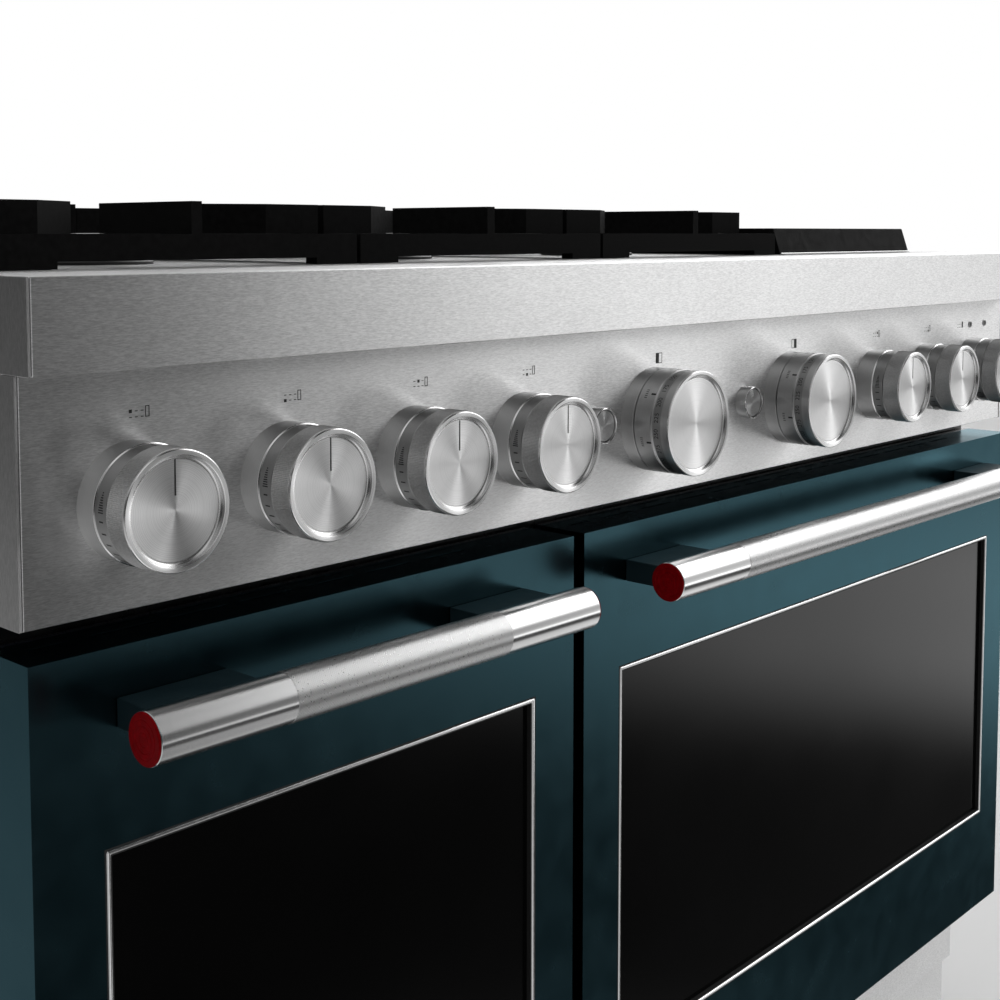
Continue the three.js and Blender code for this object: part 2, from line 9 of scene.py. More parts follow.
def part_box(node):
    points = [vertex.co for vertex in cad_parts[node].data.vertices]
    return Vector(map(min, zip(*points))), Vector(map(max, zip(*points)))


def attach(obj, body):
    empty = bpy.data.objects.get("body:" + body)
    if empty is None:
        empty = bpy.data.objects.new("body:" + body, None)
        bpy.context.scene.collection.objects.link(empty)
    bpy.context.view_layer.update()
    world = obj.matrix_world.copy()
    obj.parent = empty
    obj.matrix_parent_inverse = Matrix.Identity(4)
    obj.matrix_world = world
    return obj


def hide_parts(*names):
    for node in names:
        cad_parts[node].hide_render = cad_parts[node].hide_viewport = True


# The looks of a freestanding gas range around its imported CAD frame. Shapes are written in
# millimetres in the frame's axes (front -Y, up +Z) and become metres in piece().
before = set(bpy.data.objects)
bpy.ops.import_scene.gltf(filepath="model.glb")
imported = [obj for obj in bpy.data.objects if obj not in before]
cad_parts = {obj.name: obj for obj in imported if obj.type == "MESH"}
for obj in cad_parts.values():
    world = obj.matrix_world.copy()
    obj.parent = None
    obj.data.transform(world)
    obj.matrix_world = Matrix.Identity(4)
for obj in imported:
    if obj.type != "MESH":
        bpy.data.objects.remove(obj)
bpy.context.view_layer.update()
mm = 0.001
sides = ("left", "right")


def span(node):
    """A CAD node's box as three (low, high) pairs, in millimetres."""
    low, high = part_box(node)
    return [(low[i] / mm, high[i] / mm) for i in range(3)]


def middle(pair):
    return (pair[0] + pair[1]) / 2


def grown(pair, by):
    return pair[0] - by, pair[1] + by


# ---- camera: the photograph's viewpoint ----
camera_data = bpy.data.cameras.new("camera")
camera_data.sensor_width = 36
camera_data.lens = 51.7
camera_data.shift_y = -0.167
camera = bpy.data.objects.new("camera", camera_data)
bpy.context.scene.collection.objects.link(camera)
camera.location = (-0.982, -0.9833, 0.9366)
camera_yaw = radians(47.23)
camera_pitch = radians(4)
camera.rotation_euler = (pi / 2 - camera_pitch, 0, -camera_yaw)
bpy.context.scene.camera = camera


# ---- node materials ----
def node(tree, kind, inputs=None, **settings):
    """A shader node. An input given as a socket is linked, and any other value is set."""
    made = tree.nodes.new("ShaderNode" + kind)
    for name, value in settings.items():
        setattr(made, name, value)
    for name, value in (inputs or {}).items():
        if isinstance(value, bpy.types.NodeSocket):
            tree.links.new(value, made.inputs[name])
        else:
            made.inputs[name].default_value = value
    return made


def new_look(name, **sockets):
    """A material with a Principled shader whose uniform values are set on its own sockets."""
    look = bpy.data.materials.new(name)
    look.use_nodes = True
    tree = look.node_tree
    tree.nodes.clear()
    shader = node(tree, "BsdfPrincipled")
    for socket, value in sockets.items():
        shader.inputs[socket.replace("_", " ")].default_value = value
    output = node(tree, "OutputMaterial")
    tree.links.new(shader.outputs[0], output.inputs[0])
    return look, tree, shader


def own_place(tree, stretch=(1, 1, 1)):
    """The piece's own coordinates in metres, stretched along its axes."""
    place = node(tree, "TexCoord").outputs["Object"]
    return node(tree, "Mapping", {"Vector": place, "Scale": stretch}).outputs[0]


def noise(tree, size, stretch=(1, 1, 1), detail=4.0, roughness=0.5):
    """Soft noise with features of about that size in millimetres."""
    inputs = {"Vector": own_place(tree, stretch), "Scale": 1 / (size * mm), "Detail": detail,
              "Roughness": roughness}
    return node(tree, "TexNoise", inputs).outputs["Fac"]


def grey(value):
    return (value, value, value, 1)


def tinted(colour):
    return (*colour, 1) if isinstance(colour, tuple) else grey(colour)


def ramp(tree, factor, dark, light, low=0.3, high=0.7):
    made = node(tree, "ValToRGB", {"Fac": factor})
    first, last = made.color_ramp.elements
    first.position, first.color = low, tinted(dark)
    last.position, last.color = high, tinted(light)
    return made.outputs["Color"]


def spread(tree, factor, low, high):
    inputs = {"Value": factor, "From Min": 0.3, "From Max": 0.7, "To Min": low, "To Max": high}
    return node(tree, "MapRange", inputs).outputs[0]


def bumped(tree, shader, height, depth):
    """Relief of that depth in millimetres."""
    made = node(tree, "Bump", {"Height": height, "Distance": depth * mm, "Strength": 1.0})
    tree.links.new(made.outputs[0], shader.inputs["Normal"])


def patterned(name, dark, light, size, rough, relief=0.0, relief_size=1.0, tone_range=(0.3, 0.7),
              **sockets):
    """Colour and roughness vary with one noise, and a finer one gives the relief."""
    look, tree, shader = new_look(name, **sockets)
    tone = noise(tree, size)
    tree.links.new(ramp(tree, tone, dark, light, *tone_range), shader.inputs["Base Color"])
    tree.links.new(spread(tree, tone, *rough), shader.inputs["Roughness"])
    if relief:
        bumped(tree, shader, noise(tree, relief_size, detail=3), relief)
    return look


def brushed(name, dark, light, rough, along="x"):
    """Steel brushed in short streaks along X or Z; the gloss spreads across the streaks."""
    look, tree, shader = new_look(name, Metallic=1.0, Anisotropic=0.9)
    stretch, across = ((0.14, 1, 1), (0, 0, 1)) if along == "x" else ((1, 1, 0.14), (0, 1, 0))
    streaks = noise(tree, 0.6, stretch, detail=3, roughness=0.7)
    clouds = noise(tree, 140, detail=2)
    faint = node(tree, "Math", {0: clouds, 1: 0.15}, operation="MULTIPLY").outputs[0]
    mixed = node(tree, "Math", {0: streaks, 1: faint}, operation="ADD").outputs[0]
    tone = ramp(tree, mixed, dark, light, 0.4, 0.75)
    tree.links.new(tone, shader.inputs["Base Color"])
    tree.links.new(spread(tree, streaks, *rough), shader.inputs["Roughness"])
    axis = node(tree, "CombineXYZ", dict(zip("XYZ", across)))
    tree.links.new(axis.outputs[0], shader.inputs["Tangent"])
    bumped(tree, shader, streaks, 0.01)
    return look


def spun(name, dark, light, rough, anisotropic, relief=0.003, ring=0.35):
    """Steel turned on a lathe about the piece's own Z: fine rings, with fans of gloss across them."""
    look, tree, shader = new_look(name, Metallic=1.0, Anisotropic=anisotropic,
                                  Anisotropic_Rotation=0.25)
    place = node(tree, "SeparateXYZ", {"Vector": own_place(tree)}).outputs
    flat = node(tree, "CombineXYZ", {"X": place["X"], "Y": place["Y"], "Z": 0.0}).outputs[0]
    radius = node(tree, "VectorMath", {0: flat}, operation="LENGTH").outputs["Value"]
    both = node(tree, "Math", {0: radius, 1: place["Z"]}, operation="ADD").outputs[0]
    rings = node(tree, "TexNoise", {"W": both, "Scale": 1 / (ring * mm), "Detail": 3.0},
                 noise_dimensions="1D").outputs["Fac"]
    tree.links.new(ramp(tree, rings, dark, light), shader.inputs["Base Color"])
    tree.links.new(spread(tree, rings, *rough), shader.inputs["Roughness"])
    turning = node(tree, "Tangent", direction_type="RADIAL", axis="Z").outputs[0]
    tree.links.new(turning, shader.inputs["Tangent"])
    bumped(tree, shader, rings, relief)
    return look


def knurled(name, dark, light, rough, radius, pitch, depth):
    """A fine diamond knurl round the piece's own Z axis: two crossing families of ridges."""
    look, tree, shader = new_look(name, Metallic=1.0)
    place = node(tree, "SeparateXYZ", {"Vector": own_place(tree)}).outputs
    turn = node(tree, "Math", {0: place["Y"], 1: place["X"]}, operation="ARCTAN2").outputs[0]
    count = round(2 * pi * radius / (pitch * 2 ** 0.5))
    around = node(tree, "Math", {0: turn, 1: count / 2.0}, operation="MULTIPLY").outputs[0]
    along = node(tree, "Math", {0: place["Z"], 1: count / 2.0 / (radius * mm)},
                 operation="MULTIPLY").outputs[0]
    ridges = []
    for kind in ("ADD", "SUBTRACT"):
        slant = node(tree, "Math", {0: around, 1: along}, operation=kind).outputs[0]
        wave = node(tree, "Math", {0: slant}, operation="SINE").outputs[0]
        ridges.append(node(tree, "Math", {0: wave}, operation="ABSOLUTE").outputs[0])
    height = node(tree, "Math", {0: ridges[0], 1: ridges[1]}, operation="MULTIPLY").outputs[0]
    # The base colour follows the ridges' height and is darker along the grooves: painted shade in the
    # knurl's grooves.
    tree.links.new(ramp(tree, height, dark, light, 0.0, 0.5), shader.inputs["Base Color"])
    tree.links.new(spread(tree, noise(tree, 2), *rough), shader.inputs["Roughness"])
    bumped(tree, shader, height, depth)
    return look


steel = brushed("steel_brushed", 0.62, 0.9, (0.34, 0.42))
side_steel = brushed("steel_side", 0.38, 0.56, (0.42, 0.52), along="z")
top_steel = brushed("steel_cooktop", 0.40, 0.60, (0.42, 0.52))
knob_side = spun("steel_knob_side", 0.54, 0.66, (0.34, 0.42), 0.4)
knob_grip = patterned("steel_knurl", 0.6, 0.75, 1.5, (0.34, 0.44), Metallic=1.0)
knob_face = spun("steel_spun_face", 0.72, 0.94, (0.28, 0.38), 0.95, ring=0.4)
knob_ring = spun("steel_label_ring", 0.38, 0.48, (0.3, 0.42), 0.3)
rim_steel = spun("steel_rim", 0.62, 0.78, (0.2, 0.28), 0.6)
polished = patterned("steel_polished", 0.78, 0.88, 4, (0.12, 0.22), Metallic=1.0)
handle_smooth = spun("steel_handle", 0.74, 0.84, (0.16, 0.24), 0.75, relief=0.0006, ring=0.3)
handle_knurl = knurled("steel_handle_knurl", 0.5, 0.6, (0.26, 0.34), 15, 1.2, 0.04)
teal = patterned("paint_teal", (0.026, 0.06, 0.073), (0.031, 0.069, 0.083), 30, (0.22, 0.28),
                 relief=0.0015, relief_size=1.4, Metallic=1.0, Specular_Tint=(0.62, 0.75, 0.8, 1))
bracket_teal = patterned("paint_bracket", (0.008, 0.018, 0.023), (0.012, 0.025, 0.03), 20,
                         (0.4, 0.5), relief=0.002, relief_size=1.2, Specular_IOR_Level=0.2)
cast_iron = patterned("iron_cast", 0.003, 0.008, 5, (0.55, 0.75), relief=0.06, relief_size=0.9,
                      Specular_IOR_Level=0.05)
griddle_iron = patterned("iron_griddle", 0.005, 0.01, 9, (0.55, 0.7), relief=0.03,
                         relief_size=0.8, Specular_IOR_Level=0.06)
enamel = patterned("enamel_black", 0.006, 0.014, 14, (0.2, 0.32), relief=0.004, relief_size=2.5)
cavity_enamel = patterned("enamel_oven", (0.012, 0.016, 0.026), (0.05, 0.055, 0.07), 0.9,
                          (0.2, 0.34), tone_range=(0.52, 0.72))
burner_enamel = patterned("enamel_burner", 0.012, 0.02, 8, (0.4, 0.55), relief=0.01)
burner_metal = patterned("aluminium_burner", 0.5, 0.64, 3, (0.36, 0.5), relief=0.02,
                         relief_size=0.8, Metallic=1.0)
# Opaque near-black glass: partly the glass's own dark tint and partly painted shade standing for the
# unlit oven behind it.
dark_glass_and_cavity_shade = patterned("glass_black_and_cavity_shade", 0.0015, 0.0025, 120, (0.1, 0.13), Specular_IOR_Level=0.14)
clear_glass = patterned("glass_inner", 0.016, 0.021, 120, (0.04, 0.07), IOR=1.5)
galvanised = patterned("steel_galvanised", 0.38, 0.58, 7, (0.36, 0.55), relief=0.004,
                       relief_size=3, Metallic=1.0)
plated = patterned("wire_plated", 0.5, 0.62, 6, (0.16, 0.28), Metallic=1.0)
red = patterned("enamel_red", (0.16, 0.0005, 0.002), (0.24, 0.001, 0.004), 3, (0.35, 0.5),
                relief=0.003, Specular_IOR_Level=0.04)
# Black for print, also used as painted shade for the fan covers' vents.
print_and_shade_black = patterned("print_and_shade_black", 0.006, 0.012, 0.6, (0.4, 0.55))
lens_dark = patterned("lens_dark", 0.012, 0.02, 3, (0.1, 0.2))
# Black rubber for seals and feet, also used as painted shade in the gap round each window bezel.
rubber_and_gap_shade = patterned("rubber_black_and_gap_shade", 0.01, 0.02, 2, (0.6, 0.8), relief=0.02)
gasket_braid = patterned("braid_gasket", 0.03, 0.09, 1.1, (0.6, 0.8), relief=0.15,
                         relief_size=1.1)


# ---- mesh building, in millimetres ----
def piece(name, bm, looks, body, place=None, bevel=0.0, sharp=30, stands_for=()):
    """Turns a bmesh into a piece that rides on a body. Rims may be rounded by a bevel modifier."""
    bmesh.ops.recalc_face_normals(bm, faces=bm.faces)
    bmesh.ops.scale(bm, vec=(mm, mm, mm), verts=bm.verts)
    mesh = bpy.data.meshes.new(name)
    bm.to_mesh(mesh)
    bm.free()
    for look in looks if isinstance(looks, (list, tuple)) else [looks]:
        mesh.materials.append(look)
    mesh.shade_smooth()
    if not bevel:
        mesh.set_sharp_from_angle(angle=radians(sharp))
    made = bpy.data.objects.new(name, mesh)
    bpy.context.scene.collection.objects.link(made)
    if place:
        made.matrix_world = place
    if bevel:
        rounding = made.modifiers.new("rounding", "BEVEL")
        rounding.width = bevel * mm
        rounding.segments = 3
        rounding.limit_method = "ANGLE"
        rounding.angle_limit = radians(sharp)
        flatness = made.modifiers.new("flatness", "WEIGHTED_NORMAL")
        flatness.weight = 100
    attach(made, body)
    if stands_for:
        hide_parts(*stands_for)
    return made


def pointing(direction, x, y, z):
    """A place in millimetres whose own +Z points along that direction, with its +Y upright."""
    turn = Vector(direction).to_track_quat("Z", "Y").to_matrix().to_4x4()
    return Matrix.Translation(Vector((x, y, z)) * mm) @ turn


def forward(x, z, y=None):
    return pointing((0, -1, 0), x, panel_face if y is None else y, z)


def upright(x, y, z):
    return Matrix.Translation(Vector((x, y, z)) * mm)


def add_box(bm, x, y, z):
    """A box between pairs of values along each axis. Returns its corners."""
    corners = [bm.verts.new((a, b, c)) for c in z for b in y for a in x]
    for face in ((0, 2, 3, 1), (4, 5, 7, 6), (0, 1, 5, 4), (2, 6, 7, 3), (0, 4, 6, 2), (1, 3, 7, 5)):
        bm.faces.new([corners[i] for i in face])
    return corners


def boxes(*triples):
    bm = bmesh.new()
    for triple in triples:
        add_box(bm, *triple)
    return bm


def along_x(points, x0, x1):
    """A side view in (y, z) points, extruded along X."""
    bm = bmesh.new()
    rings = [[bm.verts.new((x, y, z)) for y, z in points] for x in (x0, x1)]
    join_rings(bm, *rings)
    for ring in rings:
        bm.faces.new(ring)
    return bm


def join_rings(bm, first, second, index=0):
    """Faces between two rings of corners, either of which may be a single point."""
    count = max(len(first), len(second))
    for i in range(count):
        j = (i + 1) % count
        if len(first) == 1:
            corners = [first[0], second[i], second[j]]
        elif len(second) == 1:
            corners = [first[i], second[0], first[j]]
        else:
            corners = [first[i], second[i], second[j], first[j]]
        bm.faces.new(corners).material_index = index


def lathe(bands, segments=96, ripple=None):
    """Turns outlines about +Z. Each band is (look index, [(radius, out), ...]) and starts where
    the one before it ends. ripple(angle) scales the radius."""
    bm = bmesh.new()
    previous = None
    for index, points in bands:
        for radius, out in points:
            if radius < 1e-6:
                ring = [bm.verts.new((0, 0, out))]
            else:
                ring = []
                for i in range(segments):
                    angle = 2 * pi * i / segments
                    reach = radius * (ripple(angle) if ripple else 1)
                    ring.append(bm.verts.new((reach * cos(angle), reach * sin(angle), out)))
            if previous and max(len(ring), len(previous)) > 1:
                join_rings(bm, previous, ring, index)
            previous = ring
    return bm


def rod(bm, start, end, radius, segments=10):
    """A round rod with closed ends between two points."""
    start, end = Vector(start), Vector(end)
    turn = (end - start).to_track_quat("Z", "Y").to_matrix()
    rings = []
    for centre in (start, end):
        rings.append([])
        for i in range(segments):
            angle = 2 * pi * i / segments
            arm = turn @ Vector((radius * cos(angle), radius * sin(angle), 0))
            rings[-1].append(bm.verts.new(centre + arm))
    join_rings(bm, *rings)
    for ring in rings:
        bm.faces.new(ring)


def recast(node_name, look, body, name, bevel=1.0, cuts=None):
    """A CAD node's own shape with rounded rims, and with the cuts taken out of it if there are any."""
    bm = bmesh.new()
    bm.from_mesh(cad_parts[node_name].data)
    bmesh.ops.scale(bm, vec=(1 / mm, 1 / mm, 1 / mm), verts=bm.verts)
    bmesh.ops.remove_doubles(bm, verts=bm.verts, dist=0.002)
    for face in bm.faces:
        face.material_index = 0
    if cuts:
        bm = subtracted(bm, cuts)
    bmesh.ops.dissolve_limit(bm, angle_limit=radians(0.5), verts=bm.verts, edges=bm.edges)
    return piece(name, bm, look, body, bevel=bevel, stands_for=[node_name])


def subtracted(whole, cuts):
    """One bmesh with another taken out of it."""
    objects = []
    for bm in (whole, cuts):
        bmesh.ops.recalc_face_normals(bm, faces=bm.faces)
        mesh = bpy.data.meshes.new("scratch")
        bm.to_mesh(mesh)
        bm.free()
        objects.append(bpy.data.objects.new("scratch", mesh))
        bpy.context.scene.collection.objects.link(objects[-1])
    cutting = objects[0].modifiers.new("cut", "BOOLEAN")
    cutting.object = objects[1]
    cutting.operation = "DIFFERENCE"
    cutting.solver = "EXACT"
    depsgraph = bpy.context.evaluated_depsgraph_get()
    result = bmesh.new()
    result.from_mesh(objects[0].evaluated_get(depsgraph).to_mesh())
    for made in objects:
        bpy.data.objects.remove(made)
    return result


def slots_along_x(centres, length, width, z):
    """Slots with round ends, cut down from above: each centre is (x, y)."""
    bm = bmesh.new()
    for x, y in centres:
        outline = []
        for end, first in ((1, -90), (-1, 90)):
            for step in range(7):
                angle = radians(first + 30 * step)
                outline.append((x + end * (length - width) / 2 + width / 2 * cos(angle),
                                y + width / 2 * sin(angle)))
        rings = [[bm.verts.new((px, py, level)) for px, py in outline] for level in z]
        join_rings(bm, *rings)
        for ring in rings:
            bm.faces.new(ring)
    return bm


# ---- marks printed on flat and round faces ----
print_thickness = 0.06


def add_bar(bm, x, y, width, height):
    """A thin printed bar on the plane z = 0, centred at x, y."""
    return add_box(bm, (x - width / 2, x + width / 2), (y - height / 2, y + height / 2),
                   (0, print_thickness))


def lettering(text, size):
    """Generic figures in the default font, flat on z = 0 and centred."""
    curve = bpy.data.curves.new("figures", "FONT")
    curve.body = text
    curve.size = size
    curve.align_x = "CENTER"
    curve.align_y = "CENTER"
    curve.extrude = print_thickness / 2
    made = bpy.data.objects.new("figures", curve)
    bpy.context.scene.collection.objects.link(made)
    depsgraph = bpy.context.evaluated_depsgraph_get()
    mesh = bpy.data.meshes.new_from_object(made.evaluated_get(depsgraph))
    bpy.data.objects.remove(made)
    flat = bmesh.new()
    flat.from_mesh(mesh)
    bpy.data.meshes.remove(mesh)
    return flat


def wrapped(flat, radius, turn, out):
    """Bends flat marks round a cylinder. turn is clockwise from twelve o'clock seen from the
    front, and the marks' own up points back to the panel."""
    for corner in flat.verts:
        x, y, z = corner.co
        angle = turn + x / radius
        corner.co = ((radius + z) * sin(angle), (radius + z) * cos(angle), out - y)
    return flat


def black_piece(name, bm, body, place):
    piece(name, bm, print_and_shade_black, body, place)


def merged(target, source):
    """Adds one bmesh to another."""
    scratch = bpy.data.meshes.new("scratch")
    source.to_mesh(scratch)
    source.free()
    target.from_mesh(scratch)
    bpy.data.meshes.remove(scratch)


# ---- places read from the frame ----
panel_x, panel_y, panel_z = span("control_panel")
panel_depth = 100
panel_face = panel_y[1] - panel_depth
body_left, body_right = panel_x
sheet = 2  # thickness of the folded fronts
end_sheet = 2  # thickness of their end plates
seam = 0.35
proud = 0.05  # how far a printed or inset piece stands off the face behind it


def folded_front(name, profile, x, y, z, bevel, stands_for):
    """A front sheet folded back at its top or bottom, between two end plates set off by a seam."""
    inner = grown(x, -end_sheet - seam)
    piece(name + "_sheet", along_x(profile, *inner), steel, "chassis",
          bevel=bevel, stands_for=stands_for)
    for side, x0 in (("left", body_left), ("right", body_right - end_sheet)):
        end = boxes(((x0, x0 + end_sheet), y, z))
        piece(f"{name}_end_{side}", end, side_steel, "chassis", bevel=0.4)


def control_panel():
    bottom, top = panel_z
    lip = 60
    y0 = panel_face
    profile = [(y0, bottom), (y0 + lip, bottom), (y0 + lip, bottom + sheet),
               (y0 + sheet, bottom + sheet), (y0 + sheet, top), (y0, top)]
    folded_front("panel", profile, panel_x, (y0, panel_y[1]), panel_z, 0.7, ["control_panel"])


def front_trim():
    x, (y0, y1), (bottom, top) = span("front_trim")
    lip = 40
    profile = [(y0, bottom), (y0 + lip, bottom), (y0 + lip, bottom + sheet),
               (y0 + sheet, bottom + sheet), (y0 + sheet, top - sheet), (y1, top - sheet), (y1, top),
               (y0, top)]
    folded_front("trim", profile, x, (y0, y1), (bottom, top), 0.8, ["front_trim"])


control_panel()
front_trim()

# ---- controls ----
bezel_front = 28.3  # distances in front of the panel
knob_front = 45.8
ring_line = 17.3
knob_looks = [knob_side, polished, rim_steel, knob_face, knob_ring]


def dish_outline(radius):
    """The front of a knob: bright edge, spun rim, hollow wall and the dish's spun floor."""
    hollow = 2.5
    rim = 3.5
    wall = []
    for step in range(7):
        angle = radians(15 * step)
        wall.append((radius - rim - hollow + hollow * cos(angle), knob_front - 0.5 - hollow * sin(angle)))
    floor = knob_front - 0.5 - hollow
    return [
        (0, [(radius, knob_front - 0.9)]),
        (1, [(radius - 0.25, knob_front - 0.3), (radius - 0.7, knob_front)]),
        (3, [(radius - rim + 0.5, knob_front - 0.1)]),
        (1, [(radius - rim + 0.1, knob_front - 0.3)]),
        (2, wall),
        (3, [(radius * 0.4, floor - 0.06), (0.8, floor - 0.1), (0, floor - 0.15)]),
    ]


def control(node_name):
    """Where a control stands on the panel, and its radius."""
    x, _, z = span(node_name)
    return forward(middle(x), middle(z)), (x[1] - x[0]) / 2


def knurled_band(radius, back, front, count):
    """A sleeve with straight ridges all round."""
    depth = 0.32
    chamfer = 0.3

    def ripple(angle):
        return 1 - depth * (0.5 - 0.5 * cos(count * angle)) / radius

    outline = [(radius - 0.8, back), (radius - chamfer, back + 0.1), (radius, back + chamfer + 0.1),
               (radius, front - chamfer), (radius - chamfer, front), (radius - 0.8, front)]
    return lathe([(0, outline)], segments=4 * count, ripple=ripple)


def pointer(radius):
    """A narrow black bar on the dish's floor, from near its rim towards the middle."""
    bm = bmesh.new()
    outer, inner = radius - 6.2, radius * 0.24
    corners = add_bar(bm, 0, (outer + inner) / 2, 1.0, outer - inner)
    for corner in corners:
        corner.co.z += knob_front - 3.0
    return bm


def level_marks(radius, out):
    """Ticks round a burner's fixed ring: a growing wedge for the low end, then spaced ticks."""
    marks = bmesh.new()

    def tick(turn, width, length):
        flat = bmesh.new()
        add_bar(flat, 0, 0, width, length)
        merged(marks, wrapped(flat, radius, radians(turn), out))

    for i in range(9):
        tick(-70 - 2.3 * i, 0.7, 1.2 + 0.45 * i)
    for i in range(5):
        tick(-97 - 12 * i, 0.9, 3.6 + 0.5 * i)
    for turn in (0, 90, 180):
        tick(turn, 1.4, 5)
    return marks


def burner_control(number):
    name = f"burner_knob_{number}"
    place, radius = control(name)
    bezel = [
        (0, [(radius - 2, -0.5), (radius - 0.1, -0.2), (radius, 0.3), (radius, ring_line - 0.9)]),
        (1, [(radius + 0.15, ring_line - 0.6), (radius + 0.15, ring_line - 0.1),
             (radius - 0.4, ring_line + 0.35)]),
        (2, [(radius - 0.6, ring_line + 0.5), (radius - 0.6, bezel_front - 0.3),
             (radius - 0.9, bezel_front), (radius - 6, bezel_front)]),
    ]
    piece(f"burner_bezel_{number}", lathe(bezel, 128), [knob_side, polished, knob_ring],
          "chassis", place)
    black_piece(f"level_marks_{number}", level_marks(radius - 0.6, 23), "chassis", place)
    back = bezel_front + 0.4
    cup = [(0, [(0, back), (radius - 1, back), (radius - 0.4, back + 0.5)])]
    piece(f"{name}_dish", lathe(cup + dish_outline(radius - 0.4), 144), knob_looks, name,
          place, stands_for=[name])
    piece(f"{name}_grip", knurled_band(radius, back + 0.1, knob_front - 1.0, 210), knob_grip, name,
          place)
    black_piece(f"{name}_pointer", pointer(radius), name, place)


for number in range(1, 8):
    burner_control(number)

oven_base_front = 12.4
mode_front = 29.0
number_band = (29.6, 38.0)


def mode_marks(radius):
    """A short bar with a row of fine ticks behind it, at each setting of the mode ring."""
    marks = bmesh.new()
    for i in range(7):
        flat = bmesh.new()
        add_bar(flat, 0, -5.2, 1.5, 4.4)
        for tick in range(5):
            add_bar(flat, (tick - 2) * 1.7, 1.4, 0.6, 2.4)
        merged(marks, wrapped(flat, radius, radians(-54 * i), 21))
    return marks


def temperature_figures(radius):
    """Numbers round the oven knob, rising counter-clockwise, and a triangle at the off point."""
    marks = bmesh.new()
    for i in range(15):
        flat = lettering(str(150 + 25 * i), 5.4)
        merged(marks, wrapped(flat, radius, radians(-27.5 - 17.5 * i), middle(number_band) + 0.2))
    flat = bmesh.new()
    for i in range(5):
        add_bar(flat, (i - 2) * 0.8, 0.6 * abs(i - 2) - 0.6, 0.75, 4 - 1.4 * abs(i - 2))
    merged(marks, wrapped(flat, radius, 0, middle(number_band)))
    return marks


def oven_control(side):
    knob_name = f"{side}_oven_knob"
    ring_name = f"{side}_oven_mode_ring"
    place, radius = control(knob_name)
    base = [
        (0, [(radius - 2, -0.5), (radius - 0.1, -0.2), (radius, 0.3), (radius, oven_base_front - 0.8),
             (radius - 0.3, oven_base_front - 0.3), (radius - 1.4, oven_base_front - 0.1),
             (radius - 1.8, oven_base_front + 0.1), (radius - 8, oven_base_front + 0.1)]),
    ]
    piece(f"{side}_oven_base", lathe(base, 128), [knob_side], "chassis", place)
    ring = [
        (0, [(radius - 8, oven_base_front + 0.4), (radius - 1.2, oven_base_front + 0.4),
             (radius - 0.1, oven_base_front + 1.0), (radius - 0.1, mode_front - 0.5),
             (radius - 0.5, mode_front), (radius - 8, mode_front)]),
    ]
    piece(f"{side}_mode_ring_sleeve", lathe(ring, 128), [knob_side], f"{side}_mode_ring",
          place, stands_for=[ring_name])
    black_piece(f"{side}_mode_marks", mode_marks(radius - 0.1), f"{side}_mode_ring", place)
    back, front = number_band
    cup = [
        (0, [(radius - 8, back - 0.2), (radius - 0.3, back - 0.2)]),
        (1, [(radius + 0.1, back), (radius + 0.1, back + 0.4)]),
        (4, [(radius - 0.5, back + 0.9), (radius - 0.5, front - 0.1), (radius - 0.2, front + 0.1)]),
        (0, [(radius - 0.2, front + 0.3)]),
    ]
    piece(f"{side}_oven_knob_cup", lathe(cup + dish_outline(radius - 0.1), 144), knob_looks, knob_name,
          place, stands_for=[knob_name])
    black_piece(f"{side}_temperature_figures", temperature_figures(radius - 0.5), knob_name, place)


def oven_button(side):
    name = f"{side}_oven_button"
    place, radius = control(name)
    collar_radius = 14
    collar_front = 10.5
    wall = 1.5
    collar = [
        (0, [(collar_radius - wall, -0.5), (collar_radius - 0.1, -0.2), (collar_radius, 0.3),
             (collar_radius, collar_front - 0.8)]),
        (1, [(collar_radius - 0.3, collar_front - 0.2), (collar_radius - 0.8, collar_front),
             (collar_radius - wall, collar_front - 0.3)]),
        (0, [(collar_radius - wall, 0)]),
    ]
    piece(f"{side}_button_collar", lathe(collar, 96), [knob_side, polished], "chassis",
          place)
    front = collar_front - 1.4
    back = 4  # the face stays this far off the panel, so that it can be pressed
    face = [
        (0, [(0, back), (radius, back), (radius, front - 0.6), (radius - 0.2, front - 0.15),
             (radius - 0.6, front)]),
        (1, [(radius - 0.8, front), (radius * 0.3, front - 0.05), (0, front - 0.08)]),
    ]
    piece(f"{side}_button_face", lathe(face, 96), [knob_side, knob_face], name, place,
          stands_for=[name])


for side in sides:
    oven_control(side)
    oven_button(side)


# ---- the panel's printed symbols: which burner or oven a knob serves ----
symbol_height = 48.5  # above the knob's centre
symbol_shift = 5


def burner_symbol(column, row):
    """Six places for burners, with a dot at this one, and the griddle as an upright box."""
    bm = bmesh.new()
    for i in range(3):
        for j in range(2):
            x, y = -4.6 + 3.8 * i, 1.7 - 3.4 * j
            if (i, j) == (column, row):
                add_bar(bm, x, y, 2.0, 2.0)
            else:
                add_bar(bm, x, y, 1.8, 0.5)
    outline_box(bm, 6.4, 1, 2.8, 6.4, filled=column == 3)
    return bm


def outline_box(bm, x, y, width, height, filled=False):
    """A printed box, filled or in outline."""
    line = 0.5
    if filled:
        add_bar(bm, x, y, width, height)
        return
    for end in (-1, 1):
        add_bar(bm, x, y + end * (height - line) / 2, width, line)
        add_bar(bm, x + end * (width - line) / 2, y, line, height - 2 * line)


def oven_symbol(side):
    """A square whose half on this oven's side is filled."""
    bm = bmesh.new()
    outline_box(bm, 0, 0, 8.4, 8.4)
    add_bar(bm, -2.1 if side == "left" else 2.1, 0, 4.2, 7.6)
    return bm


